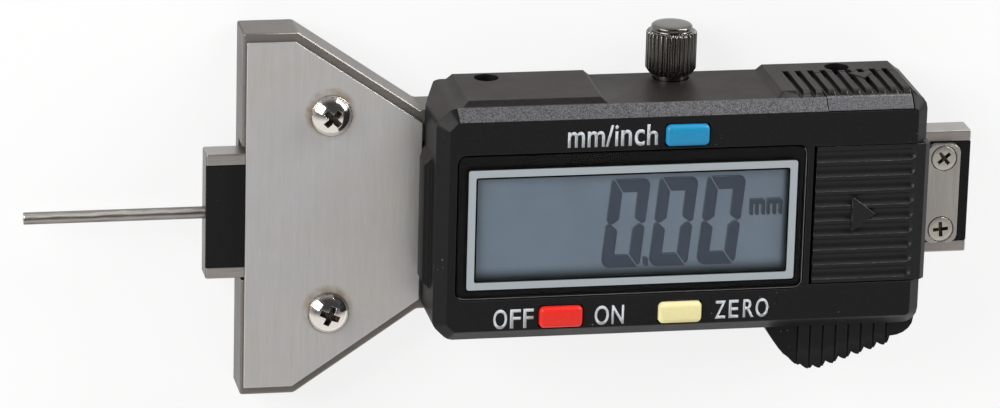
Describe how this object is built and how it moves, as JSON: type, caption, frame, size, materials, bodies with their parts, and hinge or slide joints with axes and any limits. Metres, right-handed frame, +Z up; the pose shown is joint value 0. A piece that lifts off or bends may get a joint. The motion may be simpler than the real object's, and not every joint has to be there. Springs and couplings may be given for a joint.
{
  "type": "digital depth gauge",
  "caption": "Digital tread depth gauge: steel foot and beam with a depth rod, black display unit with buttons, lock screw, battery cover and port cover that move.",
  "frame": {"origin": "Middle of the box round the gauge at rest, on the surface that it lies on: on the beam's axis, halfway between the tip of the depth rod and the rear end of the beam.", "axes": "+X along the beam from the depth rod towards the display and the beam's rear end, +Y across the foot towards the lock screw, +Z up out of the display"},
  "size_m": [0.1182, 0.0466, 0.0163],
  "materials": {
    "brushed_stainless": "satin brushed",
    "nickel": "bright nickel plated",
    "gunmetal": "dark satin, knurled",
    "brass": "plain",
    "scale_black": "matte",
    "black_plastic": "fine moulded grain",
    "clear_window": "clear, smooth",
    "silver_trim": "satin silver",
    "display_glass": "smooth, blue grey",
    "contact_rubber": "matte",
    "board_green": "solder mask",
    "blue_button": "satin",
    "red_button": "satin",
    "yellow_button": "satin"
  },
  "bodies": {
    "root": {"base_frame": "brushed_stainless", "base_cover_plate": "brushed_stainless", "base_plate_screw_1": "nickel", "base_plate_screw_2": "nickel", "front_housing": "black_plastic", "display_window": "clear_window", "lcd_frame": "silver_trim", "lcd_glass": "display_glass", "zebra_strip": "contact_rubber", "circuit_board": "board_green", "dome_unit": "brass", "dome_power": "brass", "dome_zero": "brass", "button_cell": "nickel", "battery_contact_minus": "nickel", "battery_contact_plus": "nickel", "data_connector": "black_plastic", "gib_strip": "brass", "gib_set_screw_1": "nickel", "gib_set_screw_2": "nickel", "housing_screw_1": "nickel", "housing_screw_2": "nickel", "housing_screw_3": "nickel", "housing_screw_4": "nickel"},
    "beam": {"beam": "brushed_stainless", "scale_strip": "scale_black", "depth_rod": "nickel", "stop_plate": "brushed_stainless", "stop_plate_screw_1": "nickel", "stop_plate_screw_2": "nickel"},
    "lock_screw": {"lock_screw": "gunmetal"},
    "button_unit": {"button_unit": "blue_button"},
    "button_power": {"button_power": "red_button"},
    "button_zero": {"button_zero": "yellow_button"},
    "battery_cover": {"battery_cover": "black_plastic"},
    "port_cover": {"port_cover": "black_plastic"}
  },
  "joints": [
    {"name": "beam_slide", "type": "slide", "parent": "root", "child": "beam", "axis": [1, 0, 0], "range_m": [-0.0022, 0.0265]},
    {"name": "lock_turn", "type": "hinge", "parent": "root", "child": "lock_screw", "pos_m": [0.02075, 0.0193, 0.00405], "axis": [0, -1, 0], "range_deg": [0, 180]},
    {"name": "unit_press", "type": "slide", "parent": "root", "child": "button_unit", "axis": [0, 0, -1], "range_m": [0, 0.0005], "stiffness_N_per_m": 400},
    {"name": "power_press", "type": "slide", "parent": "root", "child": "button_power", "axis": [0, 0, -1], "range_m": [0, 0.0005], "stiffness_N_per_m": 400},
    {"name": "zero_press", "type": "slide", "parent": "root", "child": "button_zero", "axis": [0, 0, -1], "range_m": [0, 0.0005], "stiffness_N_per_m": 400},
    {"name": "battery_cover_slide", "type": "slide", "parent": "root", "child": "battery_cover", "axis": [1, 0, 0], "range_m": [0, 0.015]},
    {"name": "port_cover_slide", "type": "slide", "parent": "root", "child": "port_cover", "axis": [0, 0, 1], "range_m": [0, 0.006]}
  ]
}
